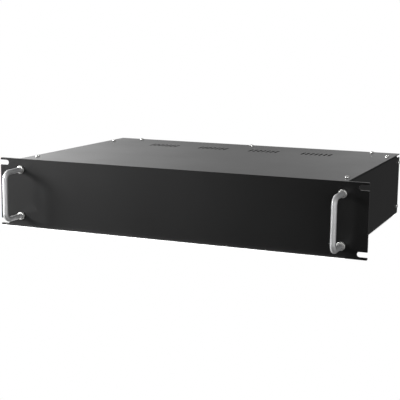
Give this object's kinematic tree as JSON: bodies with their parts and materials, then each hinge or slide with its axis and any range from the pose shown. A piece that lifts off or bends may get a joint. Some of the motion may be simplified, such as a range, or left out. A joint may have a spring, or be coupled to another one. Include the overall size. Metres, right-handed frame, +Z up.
{
  "type": "rack-mount uninterruptible power supply",
  "caption": "Flat black rack-mount power backup case with a blank front panel, bar handles, slotted ears and a vented lid; outlets, switch and fans at the rear.",
  "frame": {"origin": "on the surface that the feet rest on, under the middle of the overall box", "axes": "+X to the right as seen from the front, along the panel's width; +Y from the front panel to the rear; +Z up"},
  "size_m": [0.4826, 0.3432, 0.0897],
  "materials": {
    "black_paint": "satin black powder coat",
    "cover_paint": "satin black powder coat",
    "satin_aluminium": "satin drawn rod, clear anodised",
    "plated_steel": "bright zinc plate",
    "zinc_steel": "galvanised sheet",
    "black_plastic": "moulded, fine texture",
    "battery_plastic": "moulded jar",
    "grey_plastic": "moulded",
    "red_plastic": "moulded, gloss",
    "foot_rubber": "moulded rubber",
    "circuit_board": "solder mask on glass laminate",
    "extruded_aluminium": "plain extrusion",
    "capacitor_sleeve": "shrink sleeve",
    "core_steel": "varnished laminations",
    "winding_tape": "polyester tape",
    "red_cable": "PVC insulation",
    "black_cable": "PVC insulation"
  },
  "bodies": {
    "case": {"front_panel": "black_paint", "handle_left": "satin_aluminium", "handle_right": "satin_aluminium", "handle_collar_left_lower": "satin_aluminium", "handle_screw_left_lower": "plated_steel", "handle_collar_left_upper": "satin_aluminium", "handle_screw_left_upper": "plated_steel", "handle_collar_right_lower": "satin_aluminium", "handle_screw_right_lower": "plated_steel", "handle_collar_right_upper": "satin_aluminium", "handle_screw_right_upper": "plated_steel", "chassis_tray": "black_paint", "rear_panel": "black_paint", "top_cover": "cover_paint", "foot_front_left": "foot_rubber", "foot_front_right": "foot_rubber", "foot_rear_left": "foot_rubber", "foot_rear_right": "foot_rubber", "cover_screw_left_front": "plated_steel", "cover_screw_left_rear": "plated_steel", "side_screw_left_lower": "plated_steel", "side_screw_left_upper": "plated_steel", "cover_screw_right_front": "plated_steel", "cover_screw_right_rear": "plated_steel", "side_screw_right_lower": "plated_steel", "side_screw_right_upper": "plated_steel", "cover_screw_rear_left": "plated_steel", "cover_screw_rear_middle": "plated_steel", "cover_screw_rear_right": "plated_steel", "battery_1": "battery_plastic", "battery_2": "battery_plastic", "battery_bracket": "zinc_steel", "battery_jumper_lead": "red_cable", "battery_lead_positive": "red_cable", "battery_lead_negative": "black_cable", "transformer_core": "core_steel", "transformer_winding": "winding_tape", "main_board": "circuit_board", "heat_sink": "extruded_aluminium", "capacitor_1": "capacitor_sleeve", "capacitor_2": "capacitor_sleeve", "transfer_relay": "black_plastic", "control_card": "circuit_board", "fan_frame_left": "black_plastic", "fan_frame_right": "black_plastic", "fan_guard_left": "plated_steel", "fan_guard_right": "plated_steel", "mains_inlet": "black_plastic", "breaker_housing": "black_plastic", "breaker_nut": "plated_steel", "power_switch_housing": "black_plastic", "port_block": "zinc_steel", "test_button_housing": "black_plastic", "outlet_block": "black_plastic", "earth_stud": "plated_steel"},
    "left_fan": {"fan_rotor_left": "black_plastic"},
    "right_fan": {"fan_rotor_right": "black_plastic"},
    "switch_rocker": {"power_switch_rocker": "red_plastic"},
    "reset_button": {"breaker_button": "black_plastic"},
    "self_test_button": {"test_button": "grey_plastic"}
  },
  "joints": [
    {"name": "left_fan_spin", "type": "hinge", "parent": "case", "child": "left_fan", "pos_m": [0.0958, 0.1479, 0.0464], "axis": [0, 1, 0], "continuous": true},
    {"name": "right_fan_spin", "type": "hinge", "parent": "case", "child": "right_fan", "pos_m": [0.1638, 0.1479, 0.0464], "axis": [0, 1, 0], "continuous": true},
    {"name": "power_switch_tilt", "type": "hinge", "parent": "case", "child": "switch_rocker", "pos_m": [-0.117, 0.1606, 0.0464], "axis": [1, 0, 0], "range_deg": [-20, 0]},
    {"name": "breaker_trip", "type": "slide", "parent": "case", "child": "reset_button", "axis": [0, 1, 0], "range_m": [0, 0.0035]},
    {"name": "test_button_press", "type": "slide", "parent": "case", "child": "self_test_button", "axis": [0, 1, 0], "range_m": [-0.0015, 0], "stiffness_N_per_m": 400}
  ]
}
